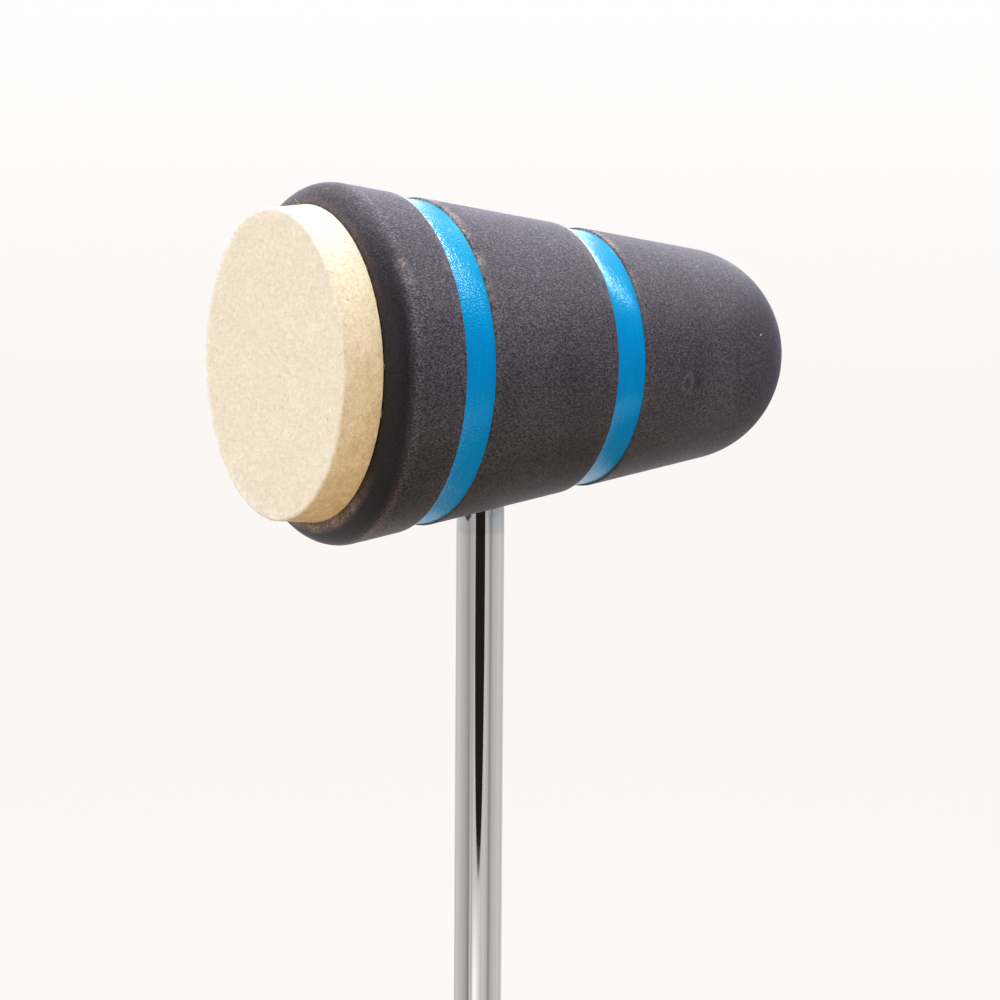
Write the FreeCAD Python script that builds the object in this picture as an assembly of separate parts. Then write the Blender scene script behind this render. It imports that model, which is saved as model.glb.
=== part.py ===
import FreeCAD, Part
import math
import os

# Bass drum beater: a turned hardwood head with a felt striking pad, on a chromed steel shaft.
# Millimetres. The shaft stands along +Z with its free lower end at the origin.
# The head's turning axis runs along Y, and the felt faces -Y.

# Shaft
shaft_diameter = 8.0
shaft_length = 203.0
shaft_end_chamfer = 0.4
# The glued end narrows a little from the head's mouth upwards, to leave room for the epoxy.
glue_end_top_diameter = 7.6
glue_end_lead = 0.4
key_groove_count = 3
key_groove_width = 1.2
key_groove_depth = 0.4
key_groove_pitch = 5.0
key_groove_from_top = 4.0

# Head: flat front, round shoulder, cone, and a dome that closes the narrow end
head_length = 88.9
cone_front_radius = 29.9
dome_radius = 18.2
shoulder_radius = 4.3
# From the head's front face back to the shaft's axis
shaft_setback = 32.3

# Bore for the shaft: blind, across the head's axis
bore_clearance = 0.2
bore_past_axis = 10.0
bore_end_gap = 0.3

# Painted stripes: shallow grooves round the cone with an enamel film on their floors
stripe_width = 5.9
front_stripe_from_face = 13.45
rear_stripe_from_face = 44.7
stripe_groove_depth = 0.65
enamel_thickness = 0.15

# Felt pad and the adhesive behind it
felt_radius = 25.4
felt_thickness = 6.3
felt_front_edge_radius = 0.5
adhesive_thickness = 0.15
adhesive_margin = 0.6

# Places that follow from the sizes above
shaft_radius = shaft_diameter / 2
bore_radius = shaft_radius + bore_clearance
head_axis_height = shaft_length + bore_end_gap - bore_past_axis
dome_centre = head_length - dome_radius
felt_back = -adhesive_thickness
felt_front = felt_back - felt_thickness
# The cone leaves its front edge at the angle that just touches the dome.
edge_to_dome_centre = math.hypot(cone_front_radius, dome_centre)
edge_angle = math.atan2(dome_centre, cone_front_radius)
taper_angle = math.acos(dome_radius / edge_to_dome_centre) - edge_angle

head_axis = FreeCAD.Vector(0, 1, 0)
shaft_axis = FreeCAD.Vector(0, 0, 1)


def cone_radius(setback):
    """The cone's radius at a distance back from the head's front face."""
    return cone_front_radius - setback * math.tan(taper_angle)


# The flat front face ends where the shoulder starts.
flat_radius = cone_radius(shoulder_radius) - shoulder_radius / math.cos(taper_angle)
adhesive_radius = min(flat_radius, felt_radius) - adhesive_margin
# The shaft's plain cylinder ends just below the lowest point of the bore's mouth.
mouth_height = head_axis_height - cone_radius(shaft_setback - bore_radius)
plain_shaft_end = mouth_height - glue_end_lead


def on_head(setback, radius):
    """A point of the head's outline, given from its front face and its turning axis."""
    return FreeCAD.Vector(0, setback - shaft_setback, head_axis_height + radius)


def on_shaft(radius, height):
    """A point of the shaft's outline."""
    return FreeCAD.Vector(radius, 0, height)


def lines(points):
    """Straight edges through the points in order."""
    return [Part.LineSegment(a, b).toShape() for a, b in zip(points, points[1:])]


def arc(centre_setback, centre_radius, size, from_angle, to_angle):
    """An arc of the head's outline. Angles turn from the radius direction towards the rear."""
    angles = (from_angle, (from_angle + to_angle) / 2, to_angle)
    points = [
        on_head(centre_setback + size * math.sin(angle), centre_radius + size * math.cos(angle))
        for angle in angles
    ]
    return Part.Arc(*points).toShape()


def turned(edges, axis):
    """The solid that a closed outline makes when it is turned round one of the two axes."""
    face = Part.Face(Part.Wire(Part.__sortEdges__(edges)))
    origin = FreeCAD.Vector(0, 0, head_axis_height)
    return face.revolve(origin, axis, 360)


def stripe_ring(from_face, inner_depth, outer_depth):
    """A ring that follows the cone across one stripe, between two depths below its surface."""
    to_face = from_face + stripe_width
    corners = [
        on_head(from_face, cone_radius(from_face) - inner_depth),
        on_head(from_face, cone_radius(from_face) - outer_depth),
        on_head(to_face, cone_radius(to_face) - outer_depth),
        on_head(to_face, cone_radius(to_face) - inner_depth),
    ]
    return turned(lines(corners + corners[:1]), head_axis)


def head_blank():
    """The turned head before it is grooved and drilled."""
    shoulder = arc(shoulder_radius, flat_radius, shoulder_radius, -math.pi / 2, taper_angle)
    dome = arc(dome_centre, 0, dome_radius, taper_angle, math.pi / 2)
    front_centre = on_head(0, 0)
    rear_tip = on_head(head_length, 0)
    cone_start = shoulder_radius * (1 + math.sin(taper_angle))
    cone_end = dome_centre + dome_radius * math.sin(taper_angle)
    edges = [shoulder, dome]
    edges += lines([rear_tip, front_centre, on_head(0, flat_radius)])
    edges += lines([on_head(setback, cone_radius(setback)) for setback in (cone_start, cone_end)])
    return turned(edges, head_axis)


def bore():
    """The blind hole for the shaft, from below the head up past its axis."""
    floor_height = head_axis_height + bore_past_axis
    start = FreeCAD.Vector(0, 0, plain_shaft_end)
    return Part.makeCylinder(bore_radius, floor_height - plain_shaft_end, start, shaft_axis)


def head():
    """The drilled head, with a groove for each stripe."""
    solid = head_blank().cut(bore())
    for from_face in (front_stripe_from_face, rear_stripe_from_face):
        solid = solid.cut(stripe_ring(from_face, stripe_groove_depth, -stripe_groove_depth))
    return solid


def stripe(from_face):
    """The enamel film on one groove's floor."""
    return stripe_ring(from_face, stripe_groove_depth, stripe_groove_depth - enamel_thickness)


def felt_pad():
    """The pressed felt disc, with a soft front edge."""
    side_front = felt_front + felt_front_edge_radius
    face_radius = felt_radius - felt_front_edge_radius
    edges = lines([on_head(side_front, felt_radius), on_head(felt_back, felt_radius)])
    edges += lines([on_head(felt_back, felt_radius), on_head(felt_back, 0), on_head(felt_front, 0)])
    edges += lines([on_head(felt_front, 0), on_head(felt_front, face_radius)])
    edges.append(arc(side_front, face_radius, felt_front_edge_radius, -math.pi / 2, 0))
    return turned(edges, head_axis)


def felt_adhesive():
    """The adhesive film between the felt and the head's flat front face."""
    return Part.makeCylinder(adhesive_radius, adhesive_thickness, on_head(felt_back, 0), head_axis)


def shaft():
    """The steel rod: a chamfered free end, a plain length to clamp and a keyed glue end."""
    top_radius = glue_end_top_diameter / 2
    slope = (shaft_radius - top_radius) / (shaft_length - plain_shaft_end)

    def glue_end_radius(height):
        return shaft_radius - slope * (height - plain_shaft_end)

    outline = [
        on_shaft(0, 0),
        on_shaft(shaft_radius - shaft_end_chamfer, 0),
        on_shaft(shaft_radius, shaft_end_chamfer),
        on_shaft(shaft_radius, plain_shaft_end),
    ]
    for index in reversed(range(key_groove_count)):
        groove_top = shaft_length - key_groove_from_top - index * key_groove_pitch
        groove_bottom = groove_top - key_groove_width
        floor_radius = top_radius - key_groove_depth
        outline += [
            on_shaft(glue_end_radius(groove_bottom), groove_bottom),
            on_shaft(floor_radius, groove_bottom),
            on_shaft(floor_radius, groove_top),
            on_shaft(glue_end_radius(groove_top), groove_top),
        ]
    chamfer_start = shaft_length - shaft_end_chamfer
    outline += [
        on_shaft(glue_end_radius(chamfer_start), chamfer_start),
        on_shaft(top_radius - shaft_end_chamfer, shaft_length),
        on_shaft(0, shaft_length),
        on_shaft(0, 0),
    ]
    return turned(lines(outline), shaft_axis)


def shaft_epoxy():
    """The epoxy that fills the bore round the shaft's glue end, flush with the head's surface."""
    return bore().common(head_blank()).cut(shaft())


pieces = {
    "head": head(),
    "front_stripe": stripe(front_stripe_from_face),
    "rear_stripe": stripe(rear_stripe_from_face),
    "felt_pad": felt_pad(),
    "felt_adhesive": felt_adhesive(),
    "shaft": shaft(),
    "shaft_epoxy": shaft_epoxy(),
}

os.makedirs("parts", exist_ok=True)
for name, solid in pieces.items():
    solid.exportStep(f"parts/{name}.step")
    print(f"{name}: {len(solid.Solids)} solid, valid {solid.isValid()}, {solid.Volume:.1f} mm3")
print(f"taper {math.degrees(taper_angle):.3f} deg, flat radius {flat_radius:.2f} mm")
print(f"head axis at {head_axis_height:.2f} mm, plain shaft to {plain_shaft_end:.2f} mm")
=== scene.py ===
# Bass drum beater: a turned wooden head with a felt pad and two enamel stripes, on a chromed shaft.
# Metres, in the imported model's frame: the shaft stands along +Z from the origin, the felt faces -Y.

import math

import bmesh
import bpy
from mathutils import Matrix, Quaternion, Vector


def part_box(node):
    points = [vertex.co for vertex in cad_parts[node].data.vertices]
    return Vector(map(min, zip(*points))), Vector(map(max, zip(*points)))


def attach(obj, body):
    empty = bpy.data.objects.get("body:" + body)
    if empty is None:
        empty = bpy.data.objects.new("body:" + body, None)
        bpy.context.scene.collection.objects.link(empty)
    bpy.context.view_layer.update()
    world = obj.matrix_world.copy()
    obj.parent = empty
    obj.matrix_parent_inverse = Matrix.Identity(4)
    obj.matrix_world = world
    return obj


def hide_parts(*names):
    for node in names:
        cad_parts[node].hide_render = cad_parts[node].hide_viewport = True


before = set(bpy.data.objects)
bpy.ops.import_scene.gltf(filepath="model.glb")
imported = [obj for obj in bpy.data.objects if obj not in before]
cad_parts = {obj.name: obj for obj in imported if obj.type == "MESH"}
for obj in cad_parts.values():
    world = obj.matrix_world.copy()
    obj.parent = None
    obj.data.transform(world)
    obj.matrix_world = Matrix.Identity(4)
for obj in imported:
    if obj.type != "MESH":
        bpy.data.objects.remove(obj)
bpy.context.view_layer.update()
mm = 0.001

# Places read from the frame
head_low, head_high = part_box("head")
felt_low, felt_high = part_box("felt_pad")
epoxy_low, epoxy_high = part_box("shaft_epoxy")
front_face = head_low.y
axis_height = (head_low.z + head_high.z) / 2
head_length = (head_high.y - front_face) / mm
felt_front = (felt_low.y - front_face) / mm
felt_back = (felt_high.y - front_face) / mm
felt_radius = (felt_high.z - felt_low.z) / 2 / mm
bore_radius = epoxy_high.x
bore_floor = epoxy_high.z

# Sizes of the turned head, in mm
cone_front_radius = 29.9
dome_radius = 18.2
shoulder_radius = 4.3
groove_depth = 0.65
front_lip_radius = 0.22
rear_lip_radius = 0.3
bore_run_out = 5

# The grooves' lips are rubbed: how far the wear fades, and how much of the stain is gone
lip_wear_width = 1.6
front_lip_wear = 0.35
rear_lip_wear = 1.0

# Enamel film: thin in the middle, drawn up where it wets the groove's walls
enamel_middle = 0.06
enamel_edge = 0.31
enamel_climb = 1.1

# Felt pad: glued on a touch high and thicker on one side
felt_edge_radius = 0.5
felt_draft = 0.5
felt_set_high = 0.2
felt_lean = math.tan(math.radians(0.85))
felt_lump_size = 1.6
felt_lump_height = 0.03
felt_rim_width = 2.0

# Where the felt's side takes its own colour: from a little over the edge, and how much of it there
felt_side_start = 0.05
felt_side_fade = 0.3
felt_side_first = 0.7

# Loose fibres: their number per square mm, length and thickness in mm, lift in degrees, and seed.
# Real wool fibres are 0.02 to 0.04 mm thick, and the strays are drawn thicker so that they show.
loose_fibres = (
    ("felt_nap", 2.6, 1.2, 0.035, 2, 3),
    ("felt_strays", 0.02, 2.4, 0.045, 35, 8),
)

# Knocks that rubbed the stain off, as points of the part's frame and their reach
knocks = (
    ((25.0, -28.1, 208.3), 0.5),
    ((24.0, -28.3, 210.0), 0.2),
)
knock_fade = 1.6
knock_strength = 0.7
# A dent on the flank that left a pale oval ring. Its half size along X only has to reach the flank.
dent = (19.8, 27.6, 189.9)
dent_half_size = (20, 1.05, 1.6)
# A dark spot just behind the dent
dark_spot_behind_dent = (dent[0] - 0.5, dent[1] + 2.5, dent[2])
# A chip that shows white
chip = (16.7, 44.4, 197.3)

# Steps round a turn, and the angle past which an edge stays a crisp corner
turn_segments = 288
felt_segments = 320
bore_segments = 96
crease_angle = math.radians(32)

dome_centre = head_length - dome_radius
edge_to_dome_centre = math.hypot(cone_front_radius, dome_centre)
edge_angle = math.atan2(dome_centre, cone_front_radius)
taper = math.acos(dome_radius / edge_to_dome_centre) - edge_angle


def cone_radius(setback):
    """The cone's radius in mm at a distance back from the head's front face."""
    return cone_front_radius - setback * math.tan(taper)


flat_radius = cone_radius(shoulder_radius) - shoulder_radius / math.cos(taper)


def at_height(height):
    """A height over the head's axis in mm, as a Z of the frame."""
    return axis_height + height * mm


def at_setback(setback):
    """A distance behind the head's front face in mm, as a Y of the frame."""
    return front_face + setback * mm


# Nodes and colours

def linear(hex_colour):
    """A colour written as sRGB hex, as linear RGBA."""
    channels = [int(hex_colour[i:i + 2], 16) / 255 for i in (1, 3, 5)]
    return [c / 12.92 if c <= 0.04045 else ((c + 0.055) / 1.055) ** 2.4 for c in channels] + [1.0]


def feed(node, inputs):
    """Sets a node's inputs from values, from sockets, or from nodes by their first live output."""
    for key, value in inputs.items():
        if isinstance(value, bpy.types.Node):
            value = next(socket for socket in value.outputs if socket.enabled)
        if isinstance(value, bpy.types.NodeSocket):
            node.id_data.links.new(value, node.inputs[key])
        else:
            node.inputs[key].default_value = value


def add(tree, kind, inputs=None, stops=None, **settings):
    """Adds a node with its settings, its inputs, and a ramp's stops of a place and a hex colour.
    A colour mix takes its share as input 0 and its two colours as inputs 6 and 7."""
    made = tree.nodes.new(kind)
    for name, value in settings.items():
        setattr(made, name, value)
    if stops:
        ramp = made.color_ramp.elements
        colours = [(place, linear(colour)) for place, colour in stops]
        ramp[0].position, ramp[0].color = colours[0]
        ramp[1].position, ramp[1].color = colours[-1]
        for place, colour in colours[1:-1]:
            ramp.new(place).color = colour
    feed(made, inputs or {})
    return made


def new_material(name):
    """A new material, its tree, its principled shader and its object coordinates."""
    made = bpy.data.materials.new(name)
    made.use_nodes = True
    tree = made.node_tree
    shader = tree.nodes["Principled BSDF"]
    place = add(tree, "ShaderNodeTexCoord").outputs["Object"]
    return made, tree, shader, place


def per(size_in_mm):
    """A texture scale whose features are about this many millimetres apart."""
    return 1 / (size_in_mm * mm)


# Masks

def near(tree, place, point, reach, softness):
    """1 within a reach of a point given in mm, falling to 0 over the softness beyond it."""
    away = add(tree, "ShaderNodeVectorMath", {
        0: place, 1: [c * mm for c in point]}, operation="DISTANCE")
    return add(tree, "ShaderNodeMapRange", {
        "Value": away, "From Min": reach * mm, "From Max": (reach + softness) * mm,
        "To Min": 1.0, "To Max": 0.0}, interpolation_type="SMOOTHSTEP")


def band(tree, value, middle, half_width):
    """1 where a value is at the middle, falling to 0 at half a width to either side."""
    off = add(tree, "ShaderNodeMath", {0: value, 1: middle}, operation="SUBTRACT")
    away = add(tree, "ShaderNodeMath", {0: off}, operation="ABSOLUTE")
    return add(tree, "ShaderNodeMapRange", {
        "Value": away, "From Max": half_width, "To Min": 1.0, "To Max": 0.0},
        interpolation_type="SMOOTHSTEP")


def dots(tree, place, apart, size, soft, sparse, strength=1.0):
    """Single dots some mm apart. Their size and softness are shares of that, and a higher sparse
    leaves out more of them."""
    cells = add(tree, "ShaderNodeTexVoronoi", {"Vector": place, "Scale": per(apart)}).outputs
    inside = add(tree, "ShaderNodeMapRange", {
        "Value": cells["Distance"], "From Min": size, "From Max": size + soft,
        "To Min": strength, "To Max": 0.0})
    kept = add(tree, "ShaderNodeMath", {0: cells["Color"], 1: sparse}, operation="GREATER_THAN")
    return add(tree, "ShaderNodeMath", {0: inside, 1: kept}, operation="MULTIPLY")


def strongest(tree, masks):
    """The strongest of several masks at each point."""
    joined = masks[0]
    for mask in masks[1:]:
        joined = add(tree, "ShaderNodeMath", {0: joined, 1: mask}, operation="MAXIMUM")
    return joined


# Stained wood

def maple_pores(tree, place, axes):
    """The pores' relief, and how pale each spot is: drawn out along the grain, calmer to the rear.
    Real pores are finer, and these are drawn coarser to show."""
    along_grain = add(tree, "ShaderNodeMapping", {"Vector": place, "Scale": (1, 0.42, 1)})
    pores = add(tree, "ShaderNodeTexNoise", {
        "Vector": along_grain, "Scale": per(0.22), "Detail": 2.0, "Roughness": 0.7, "Distortion": 0.3})
    darkest, palest = (
        add(tree, "ShaderNodeMapRange", {
            "Value": axes["Y"], "From Min": front_face, "From Max": head_high.y,
            "To Min": in_front, "To Max": at_rear})
        for in_front, at_rear in ((0.03, 0.13), (0.95, 0.64)))
    spots = add(tree, "ShaderNodeMapRange", {
        "Value": pores, "From Min": 0.39, "From Max": 0.81, "To Min": darkest, "To Max": palest})
    return pores, spots


def maple_end_grain(tree, axes):
    """1 on the flank, less on the end grain in front, which took more stain, eased at its top as painted
    light.
    """
    # The end grain's darkening eases towards the top: painted light from above.
    soak_with_painted_top_light = add(tree, "ShaderNodeMapRange", {
        "Value": axes["Z"], "From Min": at_height(12), "From Max": at_height(30),
        "To Min": 0.34, "To Max": 0.9})
    return add(tree, "ShaderNodeMapRange", {
        "Value": axes["Y"], "From Min": at_setback(2.1), "From Max": at_setback(4.1),
        "To Min": soak_with_painted_top_light, "To Max": 1.0}, interpolation_type="SMOOTHSTEP")


def maple_shade(tree, place, axes, soaked_with_painted_top_light):
    """How light the stain is: cloudy, lighter on top as painted light from above, darker on the end grain
    that took more stain, and paler along the shoulder's edge, most of all below, as a painted highlight."""
    cloud = add(tree, "ShaderNodeTexNoise", {"Vector": place, "Scale": per(11), "Detail": 3.0})
    shade = add(tree, "ShaderNodeMapRange", {
        "Value": cloud, "From Min": 0.3, "From Max": 0.7, "To Min": 0.84, "To Max": 1.16})
    # Lighter towards the top: painted light from above.
    painted_top_light = add(tree, "ShaderNodeMapRange", {
        "Value": axes["Z"], "From Min": at_height(18), "From Max": at_height(28),
        "To Min": 1.0, "To Max": 1.4})
    low_down = add(tree, "ShaderNodeMapRange", {
        "Value": axes["Z"], "From Min": at_height(-28), "From Max": at_height(-10),
        "To Min": 1.0, "To Max": 0.0})
    # A paler band along the shoulder's edge, most of all below: a painted highlight.
    shoulder_edge = band(tree, axes["Y"], at_setback(4.2), half_width=1.1 * mm)
    painted_shoulder_highlight = add(tree, "ShaderNodeMath", {
        0: shoulder_edge, 1: strongest(tree, [low_down, 0.2])}, operation="MULTIPLY")
    paler = add(tree, "ShaderNodeMapRange", {"Value": painted_shoulder_highlight, "To Min": 1.0, "To Max": 2.4})
    for change in (painted_top_light, soaked_with_painted_top_light, paler):
        shade = add(tree, "ShaderNodeMath", {0: shade, 1: change}, operation="MULTIPLY")
    return shade


def maple_stain(tree, place, axes, spots):
    """The stain's colour: black with pale specks, more of them above as painted glints, brown on the end
    grain in front, and darker and browner below as painted shade that turns to painted light at the rear."""
    stain = add(tree, "ShaderNodeMix", {
        0: spots, 6: linear("#231f21"), 7: linear("#857d81")}, data_type="RGBA")
    # More pale specks higher up: painted glints, over the real pale pores.
    painted_glint_share_above = add(tree, "ShaderNodeMapRange", {
        "Value": axes["Z"], "From Min": at_height(-6), "From Max": at_height(18),
        "To Min": 0.05, "To Max": 0.28})
    flecks_and_painted_glints = add(tree, "ShaderNodeMath", {
        0: dots(tree, place, apart=0.5, size=0.2, soft=0.25, sparse=0.68), 1: painted_glint_share_above},
        operation="MULTIPLY")
    flecked_and_glinting = add(tree, "ShaderNodeMix", {0: flecks_and_painted_glints, 6: stain, 7: linear("#b2acb0")}, data_type="RGBA")
    soaked_with_painted_top_light = maple_end_grain(tree, axes)
    grained = add(tree, "ShaderNodeMix", {
        0: soaked_with_painted_top_light, 6: linear("#3a332d"), 7: flecked_and_glinting}, data_type="RGBA")
    # Darker and browner towards the bottom: painted shade. Towards the rear it turns into painted light
    # below.
    drop = add(tree, "ShaderNodeMapRange", {
        "Value": axes["Z"], "From Min": at_height(-29), "From Max": at_height(4)})
    painted_shade_below = add(tree, "ShaderNodeValToRGB", {"Fac": drop}, stops=[
        (0.0, "#f0dcc6"), (0.1, "#f4e6d6"), (0.22, "#dacdc0"), (0.45, "#d9d2c8"), (1.0, "#ffffff")])
    less_behind = add(tree, "ShaderNodeMapRange", {
        "Value": axes["Y"], "From Min": at_setback(46), "From Max": at_setback(66),
        "To Min": 1.0, "To Max": -0.4})
    painted_shade_and_light_below = add(tree, "ShaderNodeMix", {
        0: less_behind, 6: linear("#ffffff"), 7: painted_shade_below}, data_type="RGBA", clamp_factor=False)
    stain_with_painted_shade = add(tree, "ShaderNodeVectorMath", {0: grained, 1: painted_shade_and_light_below}, operation="MULTIPLY")
    shade = maple_shade(tree, place, axes, soaked_with_painted_top_light)
    return add(tree, "ShaderNodeVectorMath", {0: stain_with_painted_shade, "Scale": shade}, operation="SCALE")


def maple_dent(tree, place, crumbs, under):
    """The dent over the colour under it: a broken pale oval ring, painted shade inside, a dark spot behind.
    """
    broken = add(tree, "ShaderNodeMapRange", {
        "Value": crumbs, "From Min": 0.35, "From Max": 0.6, "To Max": 0.6})
    off = add(tree, "ShaderNodeVectorMath", {
        0: place, 1: [c * mm for c in dent]}, operation="SUBTRACT")
    squeezed = add(tree, "ShaderNodeVectorMath", {
        0: off, 1: [per(half) for half in dent_half_size]}, operation="MULTIPLY")
    from_middle = add(tree, "ShaderNodeVectorMath", {0: squeezed}, operation="LENGTH")
    # Darker inside the dent: painted shade in its hollow. The spot behind it is darker too.
    hollow = strongest(tree, [
        band(tree, from_middle, middle=0.0, half_width=0.7),
        near(tree, place, dark_spot_behind_dent, reach=0.2, softness=1.2)])
    dark = add(tree, "ShaderNodeMath", {0: hollow, 1: 0.5}, operation="MULTIPLY")
    pressed = add(tree, "ShaderNodeMix", {0: dark, 6: under, 7: linear("#1c191a")}, data_type="RGBA")
    ring = add(tree, "ShaderNodeMath", {
        0: band(tree, from_middle, middle=0.9, half_width=0.6), 1: broken}, operation="MULTIPLY")
    return add(tree, "ShaderNodeMix", {0: ring, 6: pressed, 7: linear("#706a66")}, data_type="RGBA")


def maple_wear(tree, place, axes, crumbs, under):
    """The wear over the colour under it: stain worn thin and brown round the felt, bare wood at the
    grooves' lips, stronger higher up as a painted highlight, and at the knocks, and a white chip."""
    patches = add(tree, "ShaderNodeTexNoise", {"Vector": place, "Scale": per(3.2), "Detail": 4.0})
    both = add(tree, "ShaderNodeMath", {0: patches, 1: crumbs}, operation="ADD")
    rubbed = add(tree, "ShaderNodeMapRange", {"Value": both, "From Min": 0.94, "From Max": 1.26})
    by_the_foot = add(tree, "ShaderNodeMapRange", {
        "Value": axes["Z"], "From Min": at_height(-28), "From Max": at_height(-14),
        "To Min": 1.0, "To Max": 0.0}, interpolation_type="SMOOTHSTEP")
    high_up = add(tree, "ShaderNodeMapRange", {
        "Value": axes["Z"], "From Min": at_height(8), "From Max": at_height(20), "To Max": 0.2})
    beside_felt = add(tree, "ShaderNodeMath", {
        0: band(tree, axes["Y"], at_setback(0.15), half_width=0.6 * mm),
        1: strongest(tree, [by_the_foot, high_up])}, operation="MULTIPLY")
    uneven = add(tree, "ShaderNodeMapRange", {"Value": rubbed, "To Min": 0.36, "To Max": 1.4})
    thin = add(tree, "ShaderNodeMath", {0: beside_felt, 1: uneven}, operation="MULTIPLY")
    brown = add(tree, "ShaderNodeMix", {0: thin, 6: under, 7: linear("#947a64")}, data_type="RGBA")

    lips = add(tree, "ShaderNodeAttribute", attribute_name="wear").outputs["Fac"]
    # The lips' bare wood grows stronger towards the top: partly a painted highlight.
    wear_and_painted_highlight_above = add(tree, "ShaderNodeMapRange", {
        "Value": axes["Z"], "From Min": at_height(6), "From Max": at_height(26),
        "To Min": 0.1, "To Max": 1.6})
    rubs = [add(tree, "ShaderNodeMath", {0: lips, 1: wear_and_painted_highlight_above}, operation="MULTIPLY")]
    for point, reach in knocks:
        knock = near(tree, place, point, reach, knock_fade)
        rubs.append(add(tree, "ShaderNodeMath", {0: knock, 1: knock_strength}, operation="MULTIPLY"))
    bared = add(tree, "ShaderNodeMath", {0: rubbed, 1: strongest(tree, rubs)}, operation="MULTIPLY")
    bare = add(tree, "ShaderNodeMix", {0: bared, 6: brown, 7: linear("#ac9c88")}, data_type="RGBA")
    chipped = near(tree, place, chip, reach=0.1, softness=0.12)
    return add(tree, "ShaderNodeMix", {0: chipped, 6: bare, 7: linear("#d8d2cc")}, data_type="RGBA")


def stained_maple():
    """Maple, turned, smoothed by sanding and stained black: matte, with a fine speckle of pores that
    took more or less stain, brown end grain at the front, painted light on top, painted shade below,
    a sheen at a low angle, a dent, and wear round the felt, at the grooves' lips and on the shoulder."""
    made, tree, shader, place = new_material("maple_sanded_black_stain")
    axes = add(tree, "ShaderNodeSeparateXYZ", {0: place}).outputs
    crumbs = add(tree, "ShaderNodeTexNoise", {"Vector": place, "Scale": per(0.45), "Detail": 2.0})
    pores, spots = maple_pores(tree, place, axes)
    colour = maple_stain(tree, place, axes, spots)
    colour = maple_dent(tree, place, crumbs, colour)
    colour = maple_wear(tree, place, axes, crumbs, colour)
    gloss = add(tree, "ShaderNodeMapRange", {"Value": spots, "To Min": 0.56, "To Max": 0.44})
    relief = add(tree, "ShaderNodeBump", {"Strength": 1.0, "Distance": 0.03 * mm, "Height": pores})
    feed(shader, {
        "Base Color": colour, "Roughness": gloss, "Normal": relief,
        "Specular IOR Level": 0.25, "Specular Tint": linear("#eeeaff"),
        "Sheen Weight": 0.17, "Sheen Roughness": 0.33, "Sheen Tint": linear("#ece6ff")})
    return made


# Enamel, felt, chrome and glue

def blue_enamel():
    """Sky-blue brushing enamel laid on while the head turned: satin, with fine streaks round the
    stripe, a slight orange peel that breaks up its highlights, most on the front stripe, a few
    trapped specks, painted light that makes it lighter on top and paler below, and duller below.
    Seen head-on its gloss is blue too, so it stays deep."""
    made, tree, shader, place = new_material("enamel_brushed_sky_blue")
    axes = add(tree, "ShaderNodeSeparateXYZ", {0: place}).outputs
    round_it = add(tree, "ShaderNodeMapping", {"Vector": place, "Scale": (0.06, 1, 0.06)})
    streaks = add(tree, "ShaderNodeTexNoise", {"Vector": round_it, "Scale": per(0.4), "Detail": 3.0})
    body = add(tree, "ShaderNodeTexNoise", {"Vector": place, "Scale": per(5), "Detail": 2.0})
    mixed = add(tree, "ShaderNodeMath", {0: streaks, 1: body}, operation="ADD")
    tone = add(tree, "ShaderNodeMapRange", {"Value": mixed, "From Min": 0.7, "From Max": 1.3})
    fresh = add(tree, "ShaderNodeMix", {
        0: tone, 6: linear("#008cca"), 7: linear("#0097d6")}, data_type="RGBA")
    # Lighter and greener towards the top: painted light.
    painted_light_on_top = add(tree, "ShaderNodeMapRange", {
        "Value": axes["Z"], "From Min": at_height(4), "From Max": at_height(24)})
    # Paler below: painted light. The same share also makes it rougher there.
    painted_light_and_rougher_below = add(tree, "ShaderNodeMapRange", {
        "Value": axes["Z"], "From Min": at_height(-15), "From Max": at_height(-27)})
    below = add(tree, "ShaderNodeMix", {0: painted_light_and_rougher_below, 6: fresh, 7: linear("#04a8f6")}, data_type="RGBA")
    paint = add(tree, "ShaderNodeMix", {0: painted_light_on_top, 6: below, 7: linear("#00aacc")}, data_type="RGBA")
    specks = dots(tree, place, apart=3.4, size=0.05, soft=0.02, sparse=0.8)
    colour = add(tree, "ShaderNodeMix", {0: specks, 6: paint, 7: linear("#0d3a5c")}, data_type="RGBA")
    satin = add(tree, "ShaderNodeMapRange", {"Value": streaks, "To Min": 0.1, "To Max": 0.2})
    gloss = add(tree, "ShaderNodeMath", {0: painted_light_and_rougher_below, 1: 0.2, 2: satin}, operation="MULTIPLY_ADD")
    pebbles = add(tree, "ShaderNodeTexNoise", {"Vector": place, "Scale": per(0.36), "Detail": 0.0})
    coarse = add(tree, "ShaderNodeMapRange", {
        "Value": axes["Y"], "From Min": at_setback(20), "From Max": at_setback(44),
        "To Min": 2.2, "To Max": 0.8})
    peel = add(tree, "ShaderNodeMath", {0: pebbles, 1: coarse, 2: streaks}, operation="MULTIPLY_ADD")
    relief = add(tree, "ShaderNodeBump", {"Strength": 1.0, "Distance": 0.035 * mm, "Height": peel})
    feed(shader, {
        "Base Color": colour, "Roughness": gloss, "Normal": relief,
        "Specular IOR Level": 0.5, "Specular Tint": linear("#59c3f3")})
    return made


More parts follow.
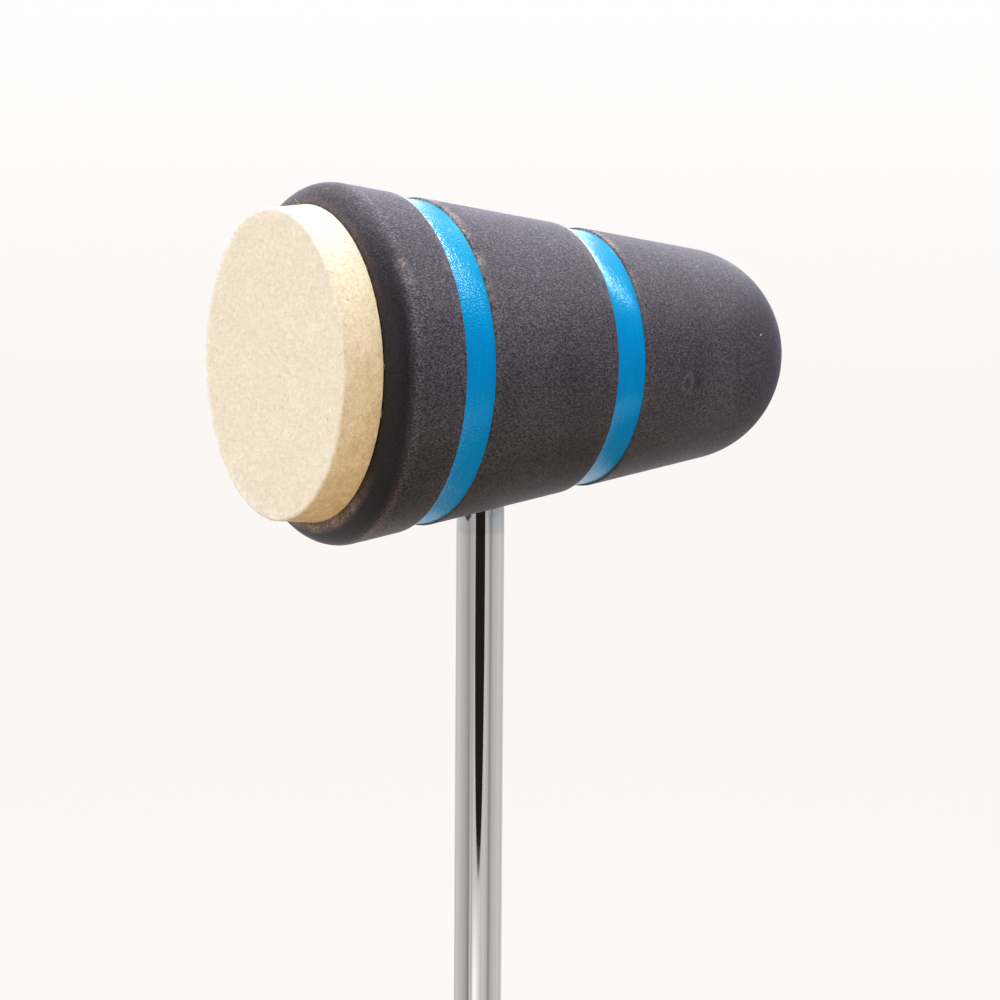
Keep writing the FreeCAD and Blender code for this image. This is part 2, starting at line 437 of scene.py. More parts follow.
def felt_face(tree, place, axes):
    """The face's cream, with a paler rim of painted back light through the nap, most towards -X."""
    from_axis = add(tree, "ShaderNodeVectorMath", {
        0: place, 1: (0, felt_low.y, at_height(felt_set_high))}, operation="SUBTRACT")
    flattened = add(tree, "ShaderNodeVectorMath", {0: from_axis, 1: (1, 0, 1)}, operation="MULTIPLY")
    radius = add(tree, "ShaderNodeVectorMath", {0: flattened}, operation="LENGTH")
    face_radius = felt_radius - felt_draft
    # Paler towards the rim, most towards -X: painted back light through the nap.
    rim_band = add(tree, "ShaderNodeMapRange", {
        "Value": radius, "From Min": (face_radius - felt_rim_width) * mm, "From Max": face_radius * mm},
        interpolation_type="SMOOTHSTEP")
    backlit_side = add(tree, "ShaderNodeMapRange", {
        "Value": axes["X"], "From Min": felt_low.x, "From Max": felt_high.x * 0.4,
        "To Min": 0.9, "To Max": 0.1})
    rim = add(tree, "ShaderNodeMath", {0: rim_band, 1: backlit_side}, operation="MULTIPLY")
    return add(tree, "ShaderNodeMix", {
        0: rim, 6: linear("#f2e7cd"), 7: linear("#fffaf0")}, data_type="RGBA")


def felt_cut_side(tree, place, axes):
    """The cut side's yellow with golden stains, both deepest low down and paler on top as painted light."""
    # Paler towards the top, with fewer stains there: painted light.
    rising = add(tree, "ShaderNodeMapRange", {
        "Value": axes["Z"], "From Min": felt_low.z, "From Max": felt_high.z})
    cream_painted_paler_above = add(tree, "ShaderNodeValToRGB", {"Fac": rising}, stops=[
        (0.0, "#f6d492"), (0.5, "#fce3ae"), (0.8, "#fcebc0"), (1.0, "#fff9ea")])
    drawn = add(tree, "ShaderNodeMapping", {"Vector": place, "Scale": (1, 1, 0.5)})
    golden = add(tree, "ShaderNodeTexNoise", {
        "Vector": drawn, "Scale": per(2.2), "Detail": 4.0, "Roughness": 0.6})
    less_above = add(tree, "ShaderNodeMapRange", {
        "Value": rising, "From Min": 0.5, "From Max": 0.8, "To Min": 0.5, "To Max": 0.1})
    stains = add(tree, "ShaderNodeMapRange", {
        "Value": golden, "From Min": 0.42, "From Max": 0.74, "To Max": less_above})
    return add(tree, "ShaderNodeMix", {0: stains, 6: cream_painted_paler_above, 7: linear("#d2a862")}, data_type="RGBA")


def wool_felt():
    """Wool felt, pressed and die-cut: no gloss, matted fibres in slightly different creams, a paler
    rim on the face as painted back light, a deeper yellow on the cut side that painted light makes paler
    on top, and a few dark specks."""
    made, tree, shader, place = new_material("wool_felt_pressed")
    axes = add(tree, "ShaderNodeSeparateXYZ", {0: place}).outputs
    side = add(tree, "ShaderNodeAttribute", attribute_name="side").outputs["Fac"]
    cream = add(tree, "ShaderNodeMix", {
        0: side, 6: felt_face(tree, place, axes), 7: felt_cut_side(tree, place, axes)}, data_type="RGBA")
    combed = add(tree, "ShaderNodeMapping", {"Vector": place, "Scale": (0.42, 1, 1)})
    matted = add(tree, "ShaderNodeTexNoise", {
        "Vector": combed, "Scale": per(0.6), "Detail": 3.0, "Roughness": 0.6, "Distortion": 1.0})
    cloud = add(tree, "ShaderNodeTexNoise", {"Vector": place, "Scale": per(5.5), "Detail": 3.0})
    fibre_tone = add(tree, "ShaderNodeMapRange", {
        "Value": matted, "From Min": 0.3, "From Max": 0.7, "To Min": -1.0, "To Max": 1.0})
    depth = add(tree, "ShaderNodeMapRange", {"Value": side, "To Min": 0.1, "To Max": 0.18})
    cloud_tone = add(tree, "ShaderNodeMapRange", {
        "Value": cloud, "From Min": 0.3, "From Max": 0.7, "To Min": 0.96, "To Max": 1.02})
    shade = add(tree, "ShaderNodeMath", {
        0: fibre_tone, 1: depth, 2: cloud_tone}, operation="MULTIPLY_ADD")
    toned = add(tree, "ShaderNodeVectorMath", {0: cream, "Scale": shade}, operation="SCALE")
    specks = dots(tree, place, apart=2.6, size=0.05, soft=0.05, sparse=0.7, strength=0.6)
    colour = add(tree, "ShaderNodeMix", {0: specks, 6: toned, 7: linear("#7c6a52")}, data_type="RGBA")
    relief = add(tree, "ShaderNodeBump", {"Strength": 1.0, "Distance": 0.04 * mm, "Height": matted})
    feed(shader, {
        "Base Color": colour, "Normal": relief, "Roughness": 0.95, "Specular IOR Level": 0.15,
        "Sheen Weight": 0.08, "Sheen Roughness": 0.5})
    return made


def wool_fibre():
    """Loose wool fibres on the felt: matte, each its own tone from pale cream to grey-brown."""
    made, tree, shader, _ = new_material("wool_fibre_loose")
    tone = add(tree, "ShaderNodeAttribute", attribute_name="tone").outputs["Fac"]
    shades = add(tree, "ShaderNodeValToRGB", {"Fac": tone}, stops=[
        (0.0, "#c4b294"), (0.15, "#e4d5b9"), (1.0, "#f7ead2")])
    feed(shader, {"Base Color": shades, "Roughness": 0.9, "Specular IOR Level": 0.2})
    return made


def chrome():
    """Bright chrome plate on drawn and polished steel: a sharp mirror with faint draw lines along
    the rod, a light film of handling and a slightly darker band just below the head, painted shade."""
    made, tree, shader, place = new_material("chrome_plate_polished")
    drawn = add(tree, "ShaderNodeMapping", {"Vector": place, "Scale": (1, 1, 0.006)})
    lines = add(tree, "ShaderNodeTexNoise", {"Vector": drawn, "Scale": per(0.35), "Detail": 2.0})
    film = add(tree, "ShaderNodeTexNoise", {"Vector": place, "Scale": per(9), "Detail": 3.0})
    smear = add(tree, "ShaderNodeMapRange", {
        "Value": film, "From Min": 0.4, "From Max": 0.75, "To Min": 0.03, "To Max": 0.09})
    relief = add(tree, "ShaderNodeBump", {"Strength": 1.0, "Distance": 0.0006 * mm, "Height": lines})
    height = add(tree, "ShaderNodeSeparateXYZ", {0: place}).outputs["Z"]
    # A slightly darker band just below the head: painted shade.
    rim = add(tree, "ShaderNodeMapRange", {
        "Value": height, "From Min": epoxy_low.z - 3.5 * mm, "From Max": epoxy_low.z - 2.7 * mm})
    plate = add(tree, "ShaderNodeMix", {
        0: rim, 6: linear("#c4c2c0"), 7: linear("#b7b7b8")}, data_type="RGBA")
    feed(shader, {"Base Color": plate, "Roughness": smear, "Normal": relief, "Metallic": 1.0})
    return made


def glue(name, thin, thick, lump, roughness):
    """Set glue: a smooth resin skin, paler where it is thin, with lumps of a size in mm."""
    made, tree, shader, place = new_material(name)
    depth = add(tree, "ShaderNodeTexNoise", {"Vector": place, "Scale": per(lump), "Detail": 3.0})
    colour = add(tree, "ShaderNodeMix", {0: depth, 6: linear(thin), 7: linear(thick)}, data_type="RGBA")
    relief = add(tree, "ShaderNodeBump", {"Strength": 0.6, "Distance": 0.04 * mm, "Height": depth})
    feed(shader, {"Base Color": colour, "Normal": relief, "Roughness": roughness})
    return made


# Outlines of the turned pieces: points of (setback from the front face, radius, weight), in mm

def arc(centre_setback, centre_radius, size, from_angle, to_angle, steps, weight=0.0):
    """An arc of an outline. Angles turn from the radius direction towards the rear."""
    points = []
    for step in range(steps + 1):
        angle = from_angle + (to_angle - from_angle) * step / steps
        setback = centre_setback + size * math.sin(angle)
        points.append((setback, centre_radius + size * math.cos(angle), weight))
    return points


def straight(start, end, steps):
    """Points along a straight stretch, both ends included."""
    shares = [step / steps for step in range(steps + 1)]
    return [tuple(a + (b - a) * share for a, b in zip(start, end)) for share in shares]


def stripe_span(node):
    """Where a stripe's groove starts and ends, as setbacks in mm."""
    low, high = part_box(node)
    return (low.y - front_face) / mm, (high.y - front_face) / mm


def groove_floor(setback):
    """The radius of a groove's floor in mm, which follows the cone."""
    return cone_radius(setback) - groove_depth


def groove_outline(start, end):
    """A stripe's groove in the cone, with its two lips rounded off and rubbed."""
    front = start - front_lip_radius
    rear = end + rear_lip_radius
    slant = math.cos(taper)
    front_centre = cone_radius(front) - front_lip_radius / slant
    rear_centre = cone_radius(rear) - rear_lip_radius / slant
    points = [(front - lip_wear_width, cone_radius(front - lip_wear_width), 0.0)]
    points += arc(
        front, front_centre, front_lip_radius, taper, math.pi / 2, steps=6, weight=front_lip_wear)
    points += [(setback, groove_floor(setback), 0.0) for setback in (start, end)]
    points += arc(
        rear, rear_centre, rear_lip_radius, -math.pi / 2, taper, steps=6, weight=rear_lip_wear)
    points.append((rear + lip_wear_width, cone_radius(rear + lip_wear_width), 0.0))
    return points


def head_outline():
    """The head from the middle of its front face to its rear tip."""
    points = straight((0, 0, 0), (0, flat_radius, 0), steps=6)
    points += arc(shoulder_radius, flat_radius, shoulder_radius, -math.pi / 2, taper, steps=20)[1:]
    for node in ("front_stripe", "rear_stripe"):
        points += groove_outline(*stripe_span(node))
    points += arc(dome_centre, 0, dome_radius, taper, math.pi / 2, steps=32)
    return points


def enamel_outline(start, end):
    """The enamel film in a groove: flat below, and hollow above where it wets both walls."""
    across = 24
    points = [(start, groove_floor(start), 0.0)]
    for step in range(across + 1):
        setback = start + (end - start) * step / across
        from_wall = min(setback - start, end - setback)
        film = enamel_middle + (enamel_edge - enamel_middle) * math.exp(-from_wall / enamel_climb)
        points.append((setback, groove_floor(setback) + film, 0.0))
    points.append((end, groove_floor(end), 0.0))
    return points + points[:1]


def side_share(behind_face):
    """How much the felt has its side's colour: most of it just over the edge, all of it at the back."""
    share = (behind_face - felt_side_start) / felt_side_fade
    over_edge = felt_side_first * min(1.0, max(0.0, share))
    return over_edge + (1 - felt_side_first) * behind_face / (felt_back - felt_front)


def felt_outline():
    """The felt disc from the middle of its face over the soft edge to the middle of its back."""
    front_radius = felt_radius - felt_draft
    face_radius = front_radius - felt_edge_radius
    side_front = felt_front + felt_edge_radius
    points = straight((felt_front, 0, 0), (felt_front, face_radius, 0), steps=48)
    points += arc(side_front, face_radius, felt_edge_radius, -math.pi / 2, 0, steps=10)[1:]
    points += straight((side_front, front_radius, 0), (felt_back, felt_radius, 0), steps=12)[1:]
    points = [(s, r, side_share(s - felt_front)) for s, r, _ in points]
    return points + straight((felt_back, felt_radius, 1), (felt_back, 0, 1), steps=6)[1:]


# Geometry Nodes

def new_tree(name, **sockets):
    """A geometry tree with inputs of these names and kinds, and the sockets that they come from."""
    tree = bpy.data.node_groups.new(name, "GeometryNodeTree")
    for socket, kind in sockets.items():
        tree.interface.new_socket(socket, in_out="INPUT", socket_type=f"NodeSocket{kind}")
    tree.interface.new_socket("Geometry", in_out="OUTPUT", socket_type="NodeSocketGeometry")
    given = add(tree, "NodeGroupInput").outputs
    return tree, given


def end_tree(tree, geometry, material):
    """Ends a geometry tree in a real mesh with its material."""
    real = add(tree, "GeometryNodeRealizeInstances", {"Geometry": geometry})
    made = add(tree, "GeometryNodeSetMaterial", {"Geometry": real, "Material": material})
    add(tree, "NodeGroupOutput", {"Geometry": made})
    return tree


def turning_tree():
    """Turns an outline of points round an axis into a closed mesh, as a lathe does."""
    tree, given = new_tree(
        "turned_on_a_lathe", outline="Geometry", segments="Int", axis_point="Vector", axis="Vector",
        weight_name="String", material="Material")
    count = add(tree, "GeometryNodeAttributeDomainSize", {"Geometry": given["outline"]})
    columns = add(tree, "FunctionNodeIntegerMath", {0: given["segments"], 1: 1}, operation="ADD")
    grid = add(tree, "GeometryNodeMeshGrid", {
        "Vertices X": count.outputs["Point Count"], "Vertices Y": columns})
    index = add(tree, "GeometryNodeInputIndex")
    row = add(tree, "FunctionNodeIntegerMath", {0: index, 1: columns}, operation="DIVIDE_FLOOR")
    column = add(tree, "FunctionNodeIntegerMath", {0: index, 1: columns}, operation="MODULO")
    share = add(tree, "ShaderNodeMath", {0: column, 1: given["segments"]}, operation="DIVIDE")
    angle = add(tree, "ShaderNodeMath", {0: share, 1: 2 * math.pi}, operation="MULTIPLY")
    here = add(tree, "GeometryNodeInputPosition")
    point = add(tree, "GeometryNodeSampleIndex", {
        "Geometry": given["outline"], "Value": here, "Index": row}, data_type="FLOAT_VECTOR")
    swung = add(tree, "ShaderNodeVectorRotate", {
        "Vector": point, "Center": given["axis_point"], "Axis": given["axis"], "Angle": angle},
        rotation_type="AXIS_ANGLE")
    weight = add(tree, "GeometryNodeInputNamedAttribute", {"Name": given["weight_name"]})
    carried = add(tree, "GeometryNodeSampleIndex", {
        "Geometry": given["outline"], "Value": weight, "Index": row})
    weighted = add(tree, "GeometryNodeStoreNamedAttribute", {
        "Geometry": grid, "Name": given["weight_name"], "Value": carried})
    placed = add(tree, "GeometryNodeSetPosition", {"Geometry": weighted, "Position": swung})
    closed = add(tree, "GeometryNodeMergeByDistance", {"Geometry": placed, "Distance": 0.0005 * mm})
    smooth = add(tree, "GeometryNodeSetShadeSmooth", {"Geometry": closed})
    return end_tree(tree, smooth, given["material"])


def matting_tree():
    """Lifts and sinks a felt surface a little, in lumps, and makes the disc thicker towards +X."""
    tree, given = new_tree(
        "pressed_unevenly", surface="Geometry", lump_size="Float", lump_height="Float", back="Float",
        thickness="Float", lean="Float", rise="Float", material="Material")
    here = add(tree, "GeometryNodeInputPosition")
    facing = add(tree, "GeometryNodeInputNormal").outputs["Normal"]
    scale = add(tree, "ShaderNodeMath", {0: 1.0, 1: given["lump_size"]}, operation="DIVIDE")
    lumps = add(tree, "ShaderNodeTexNoise", {"Vector": here, "Scale": scale, "Detail": 2.0})
    centred = add(tree, "ShaderNodeMath", {0: lumps, 1: 0.5}, operation="SUBTRACT")
    lift = add(tree, "ShaderNodeMath", {0: centred, 1: given["lump_height"]}, operation="MULTIPLY")
    offset = add(tree, "ShaderNodeVectorMath", {0: facing, "Scale": lift}, operation="SCALE")
    axes = add(tree, "ShaderNodeSeparateXYZ", {0: here}).outputs
    from_back = add(tree, "ShaderNodeMath", {0: axes["Y"], 1: given["back"]}, operation="SUBTRACT")
    share = add(tree, "ShaderNodeMath", {0: from_back, 1: given["thickness"]}, operation="DIVIDE")
    slope = add(tree, "ShaderNodeMath", {0: axes["X"], 1: given["lean"]}, operation="MULTIPLY")
    forward = add(tree, "ShaderNodeMath", {0: share, 1: slope}, operation="MULTIPLY")
    shift = add(tree, "ShaderNodeCombineXYZ", {"Y": forward, "Z": given["rise"]})
    moved = add(tree, "ShaderNodeVectorMath", {0: offset, 1: shift}, operation="ADD")
    placed = add(tree, "GeometryNodeSetPosition", {"Geometry": given["surface"], "Offset": moved})
    return end_tree(tree, placed, given["material"])


def fibre_tree():
    """Scatters curved loose fibres over a felt surface, lying flat or lifted a little."""
    tree, given = new_tree(
        "scattered_fibres", surface="Geometry", density="Float", length="Float", thickness="Float",
        lift_angle="Float", seed="Int", material="Material")
    facing = add(tree, "GeometryNodeInputNormal").outputs["Normal"]
    towards_rear = add(tree, "ShaderNodeSeparateXYZ", {0: facing}).outputs["Y"]
    shows = add(tree, "FunctionNodeCompare", {0: towards_rear, 1: 0.5}, operation="LESS_THAN")
    roots = add(tree, "GeometryNodeDistributePointsOnFaces", {
        "Mesh": given["surface"], "Selection": shows, "Density": given["density"], "Seed": given["seed"]})
    lower = add(tree, "ShaderNodeMath", {0: 0.0, 1: given["lift_angle"]}, operation="SUBTRACT")
    size, turn, tilt, tone = (
        add(tree, "FunctionNodeRandomValue", {2: low, 3: high, "Seed": given["seed"]}, data_type="FLOAT")
        for low, high in ((0.5, 1.3), (0.0, 2 * math.pi), (lower, given["lift_angle"]), (0.0, 1.0)))
    long = add(tree, "ShaderNodeMath", {0: size, 1: given["length"]}, operation="MULTIPLY")
    spin = add(tree, "ShaderNodeCombineXYZ", {"Y": tilt, "Z": turn})
    posed = add(tree, "FunctionNodeRotateRotation", {
        0: roots.outputs["Rotation"], 1: spin}, rotation_space="LOCAL")
    fibre = add(tree, "GeometryNodeCurveQuadraticBezier", {
        "Resolution": 3, "Start": (-0.5, 0.0, 0.0), "Middle": (0.0, 0.3, 0.0), "End": (0.5, 0.0, 0.0)})
    laid = add(tree, "GeometryNodeInstanceOnPoints", {
        "Points": roots, "Instance": fibre, "Rotation": posed, "Scale": long})
    toned = add(tree, "GeometryNodeStoreNamedAttribute", {
        "Geometry": laid, "Name": "tone", "Value": tone}, domain="INSTANCE")
    curves = add(tree, "GeometryNodeRealizeInstances", {"Geometry": toned})
    half = add(tree, "ShaderNodeMath", {0: given["thickness"], 1: 2.0}, operation="DIVIDE")
    section = add(tree, "GeometryNodeCurvePrimitiveCircle", {"Resolution": 3, "Radius": half})
    strands = add(tree, "GeometryNodeCurveToMesh", {
        "Curve": curves, "Profile Curve": section, "Fill Caps": True})
    smooth = add(tree, "GeometryNodeSetShadeSmooth", {"Geometry": strands})
    return end_tree(tree, smooth, given["material"])


# Making pieces

def placed_object(name, data):
    """A new object in the scene."""
    made = bpy.data.objects.new(name, data)
    bpy.context.scene.collection.objects.link(made)
    return made


def made_plain(piece):
    """Turns a piece's modifiers into its plain mesh."""
    evaluated = piece.evaluated_get(bpy.context.evaluated_depsgraph_get())
    mesh = bpy.data.meshes.new_from_object(evaluated)
    piece.modifiers.clear()
    piece.data = mesh
    mesh.name = piece.name


def grown(name, mesh, tree, **inputs):
    """A new object whose plain mesh is what the tree makes of the given one."""
    piece = placed_object(name, mesh)
    modifier = piece.modifiers.new("grow", "NODES")
    modifier.node_group = tree
    for item in tree.interface.items_tree:
        if item.in_out == "INPUT" and item.name in inputs:
            modifier[item.identifier] = inputs[item.name]
    made_plain(piece)
    return piece


def outward(piece):
    """Points a closed mesh's faces outwards and keeps its corners crisp."""
    shape = bmesh.new()
    shape.from_mesh(piece.data)
    bmesh.ops.recalc_face_normals(shape, faces=shape.faces)
    shape.to_mesh(piece.data)
    shape.free()
    piece.data.set_sharp_from_angle(angle=crease_angle)
    return piece


lathe = turning_tree()


def turned(name, outline, segments, material, weight_name="wear"):
    """A piece turned round the head's axis from an outline in mm."""
    mesh = bpy.data.meshes.new(name)
    mesh.from_pydata([(0, at_setback(s), at_height(r)) for s, r, _ in outline], [], [])
    weights = mesh.attributes.new(weight_name, "FLOAT", "POINT")
    weights.data.foreach_set("value", [weight for _, _, weight in outline])
    piece = grown(
        name, mesh, lathe, segments=segments, axis_point=(0, 0, axis_height), axis=(0, 1, 0),
        weight_name=weight_name, material=material)
    return outward(piece)


def drill_bore(piece):
    """Cuts the blind bore that holds the shaft."""
    shape = bmesh.new()
    start = epoxy_low.z - bore_run_out * mm
    bmesh.ops.create_cone(
        shape, cap_ends=True, segments=bore_segments, radius1=bore_radius, radius2=bore_radius,
        depth=bore_floor - start, matrix=Matrix.Translation((0, 0, (bore_floor + start) / 2)))
    mesh = bpy.data.meshes.new("bore")
    shape.to_mesh(mesh)
    shape.free()
    cutter = placed_object("bore", mesh)
    cut = piece.modifiers.new("bore", "BOOLEAN")
    cut.operation = "DIFFERENCE"
    cut.solver = "EXACT"
    cut.object = cutter
    made_plain(piece)
    bpy.data.objects.remove(cutter)
    bpy.data.meshes.remove(mesh)
    piece.data.set_sharp_from_angle(angle=crease_angle)


def finished(piece, slot, *nodes):
    """Gives a finished piece to the frame in place of the CAD nodes that it stands for."""
    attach(piece, "root")
    if nodes:
        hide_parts(*nodes)


# Head

head = turned("turned_head", head_outline(), turn_segments, stained_maple())
drill_bore(head)
finished(head, "stained_wood", "head")

# Stripes

enamel = blue_enamel()
for node in ("front_stripe", "rear_stripe"):
    film = turned(f"{node}_film", enamel_outline(*stripe_span(node)), turn_segments, enamel)
    finished(film, "blue_enamel", node)

# Felt

pressed_felt = wool_felt()
blank = turned("felt_blank", felt_outline(), felt_segments, pressed_felt, "side")
felt = grown(
    "felt_disc", blank.data, matting_tree(), lump_size=felt_lump_size * mm,
    lump_height=felt_lump_height * mm, back=felt_high.y, thickness=felt_high.y - felt_low.y,
    lean=felt_lean, rise=felt_set_high * mm, material=pressed_felt)
finished(felt, "felt", "felt_pad")
bpy.data.objects.remove(blank)

fibres = fibre_tree()
loose_wool = wool_fibre()
for name, per_square_mm, length, thickness, lift, seed in loose_fibres:
    strands = grown(
        name, felt.data.copy(), fibres, density=per_square_mm / mm ** 2, length=length * mm,
        thickness=thickness * mm, lift_angle=math.radians(lift), seed=seed, material=loose_wool)
    finished(strands, "felt")

# CAD pieces that keep their shape

for node, material in (
    ("shaft", chrome()),
    ("shaft_epoxy", glue("epoxy_set", thin="#4a4038", thick="#2c2622", lump=2.0, roughness=0.3)),
    ("felt_adhesive", glue("contact_adhesive_set", thin="#d8c9a0", thick="#b8a67c", lump=3.0, roughness=0.6)),
):
    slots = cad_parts[node].data.materials
    slots.clear()
    slots.append(material)

# Camera, at the photograph's viewing angle: the picture is 1000 pixels square

picture_size = 1000
focal_pixels = 3247
sensor_width = 36
camera_azimuth = math.radians(58.722)
camera_elevation = math.radians(3.5)
camera_roll = math.radians(0.404)
camera_distance = 540 * mm
aimed_at = Vector((0, 7.7 * mm, axis_height))
aimed_pixel = (520.36, 358.43)

back = Vector((
    math.sin(camera_azimuth) * math.cos(camera_elevation),
    -math.cos(camera_azimuth) * math.cos(camera_elevation),
    math.sin(camera_elevation),
))
upright = Vector((0, 0, 1))
level = (-back).cross(upright).normalized()
rise = level.cross(-back)
aside = level * (picture_size / 2 - aimed_pixel[0]) / focal_pixels
lifted = rise * (aimed_pixel[1] - picture_size / 2) / focal_pixels
ahead = (aside + lifted - back).normalized()
right = ahead.cross(upright).normalized()
turn = Matrix((right, right.cross(ahead), -ahead)).transposed()
roll = Matrix.Rotation(camera_roll, 3, "Z")

camera = placed_object("camera", bpy.data.cameras.new("camera"))
camera.data.sensor_width = sensor_width
camera.data.lens = focal_pixels / picture_size * sensor_width
camera.data.clip_start = 0.01
camera.matrix_world = Matrix.Translation(aimed_at + back * camera_distance) @ (turn @ roll).to_4x4()
bpy.context.scene.camera = camera

# Stage: a pale floor that fades into a white surround, soft light from above

low_backdrop = "#fbf7f4"
near_backdrop = "#fdf9f6"
high_backdrop = "#ffffff"
# The backdrop turns white between these heights over the horizon, in degrees.
backdrop_rise = (-4.2, 2.6)
# The fill light is warm and weaker from the table below, and cool from above.
fill_colours = ("#ffe0ac", "#e8ecff")
fill_strengths = (0.4, 1.0)
floor_radius = 0.9
floor_fade = (0.14, 0.32)


def seen_ray(tree):
    """1 for the rays that look at the backdrop, straight or in a mirror or glass, and 0 for the rest."""
    path = add(tree, "ShaderNodeLightPath").outputs
    return strongest(tree, [path[f"Is {ray} Ray"] for ray in ("Camera", "Glossy", "Transmission")])


def surround():
    """A white surround that gives a soft fill light."""
    world = bpy.data.worlds.new("white_surround")
    world.use_nodes = True
    tree = world.node_tree
    tree.nodes.clear()
    direction = add(tree, "ShaderNodeTexCoord").outputs["Generated"]
    height = add(tree, "ShaderNodeSeparateXYZ", {0: direction}).outputs["Z"]
    low, high = (math.sin(math.radians(angle)) for angle in backdrop_rise)
    rising = add(tree, "ShaderNodeMapRange", {"Value": height, "From Min": low, "From Max": high})
    white = add(tree, "ShaderNodeMix", {
        0: rising, 6: linear(low_backdrop), 7: linear(high_backdrop)}, data_type="RGBA")
    up = add(tree, "ShaderNodeMapRange", {"Value": height, "From Min": -1.0, "From Max": 0.3})
    tint = add(tree, "ShaderNodeMix", {
        0: up, 6: linear(fill_colours[0]), 7: linear(fill_colours[1])}, data_type="RGBA")
    fill = add(tree, "ShaderNodeMapRange", {
        "Value": height, "From Min": -1.0, "From Max": 0.15,
        "To Min": fill_strengths[0], "To Max": fill_strengths[1]})
    looking = add(tree, "ShaderNodeLightPath").outputs["Is Camera Ray"]
    colour = add(tree, "ShaderNodeMix", {0: looking, 6: tint, 7: white}, data_type="RGBA")
    strength = add(tree, "ShaderNodeMix", {0: seen_ray(tree), 2: fill, 3: 1.0})
    sky = add(tree, "ShaderNodeBackground", {"Color": colour, "Strength": strength})
    add(tree, "ShaderNodeOutputWorld", {"Surface": sky})
    bpy.context.scene.world = world


def floor_paper():
    """Matt white paper that keeps the shadow near the object and fades into the surround. Seen
    from underneath it is clear, so that the object's underside shows."""
    made, tree, shader, place = new_material("paper_matt_white")
    feed(shader, {"Base Color": linear("#d2cdc0"), "Roughness": 0.9, "Specular IOR Level": 0.1})
    away = add(tree, "ShaderNodeVectorMath", {0: place}, operation="LENGTH")
    fade = add(tree, "ShaderNodeMapRange", {
        "Value": away, "From Min": floor_fade[0], "From Max": floor_fade[1]},
        interpolation_type="SMOOTHSTEP")
    share = add(tree, "ShaderNodeMath", {0: fade, 1: seen_ray(tree)}, operation="MULTIPLY")
    far = add(tree, "ShaderNodeMapRange", {
        "Value": away, "From Min": floor_fade[1], "From Max": floor_radius})
    white = add(tree, "ShaderNodeMix", {
        0: far, 6: linear(near_backdrop), 7: linear(low_backdrop)}, data_type="RGBA")
    glow = add(tree, "ShaderNodeEmission", {"Color": white, "Strength": 1.0})
    blend = add(tree, "ShaderNodeMixShader", {0: share, 1: shader, 2: glow})
    clear = add(tree, "ShaderNodeBsdfTransparent")
    underside = add(tree, "ShaderNodeNewGeometry").outputs["Backfacing"]
    sheet = add(tree, "ShaderNodeMixShader", {0: underside, 1: blend, 2: clear})
    feed(tree.nodes["Material Output"], {"Surface": sheet})
    return made


def floor():
    """A round sheet of paper under the object."""
    shape = bmesh.new()
    bmesh.ops.create_circle(shape, cap_ends=True, segments=96, radius=floor_radius)
    mesh = bpy.data.meshes.new("floor")
    shape.to_mesh(mesh)
    shape.free()
    mesh.materials.append(floor_paper())
    sheet = placed_object("floor", mesh)
    sheet.visible_diffuse = False


def soft_light(name, place, width, height, power, colour, in_mirrors=True, tilt=0):
    """A soft box that looks at the head, tilted in degrees, that shows in mirrors or not."""
    lamp = bpy.data.lights.new(name, "AREA")
    lamp.shape = "RECTANGLE"
    lamp.size = width
    lamp.size_y = height
    lamp.energy = power
    lamp.color = linear(colour)[:3]
    box = placed_object(name, lamp)
    box.location = place
    level_turn = (Vector((0, 0, axis_height)) - Vector(place)).to_track_quat("-Z", "Y")
    box.rotation_euler = (level_turn @ Quaternion((0, 0, 1), math.radians(tilt))).to_euler()
    box.visible_camera = False
    box.visible_glossy = in_mirrors


# What the chrome and the gloss mirror: a white tent round the object, open towards the camera

def mirrored(name, points, faces, paint, strength=1.0):
    """A stage piece that shows only in mirrors. Its paint is a colour or a function of its tree."""
    mesh = bpy.data.meshes.new(name)
    mesh.from_pydata(points, [], faces)
    made, tree, _, place = new_material(f"{name}_cloth")
    colour = paint(tree, place) if callable(paint) else linear(paint)
    glow = add(tree, "ShaderNodeEmission", {"Color": colour, "Strength": strength})
    feed(tree.nodes["Material Output"], {"Surface": glow})
    mesh.materials.append(made)
    card = placed_object(name, mesh)
    card.visible_camera = False
    card.visible_diffuse = False
    card.visible_shadow = False
    card.visible_transmission = False


def towards(angle, distance):
    """A floor point at an angle in degrees to the right of the camera, seen from the shaft."""
    azimuth = camera_azimuth + math.radians(angle)
    return Vector((math.sin(azimuth), -math.cos(azimuth), 0)) * distance


def sector(angles, span, height):
    """The edge of a level card between two distances from the shaft, over a range of angles."""
    lift = upright * height
    edge = [towards(angle, span[0]) + lift for angle in angles]
    return edge + [towards(angle, span[1]) + lift for angle in reversed(angles)]


opening_distance = 0.486
opening_half_width = 0.203
opening_rounding = 0.080
opening_height = 0.55
opening_turn = math.radians(1.2)
cloth_distance = 0.30
cloth_edge = 28
cloth_top = 0.34
cloth_blend = (0.125, 0.165)
high_cloth_strength = 2.1
# Greys of the tent's cloth: angles to the right of the camera, with a fold and two poles
low_cloth_greys = (
    (-180, "#f7f7f7"), (-150, "#e3e3e3"), (-122, "#ffffff"), (-74, "#e0e0e0"), (-50, "#bcbcbc"),
    (-46, "#d8d8d8"), (-28, "#dcdcdc"), (28, "#fbfbfb"), (44, "#e0e0e0"), (48, "#acacac"), (53, "#d8d8d8"),
    (64, "#cacaca"), (76, "#ececec"), (110, "#ffffff"), (130, "#eaeaea"), (180, "#f7f7f7"),
)
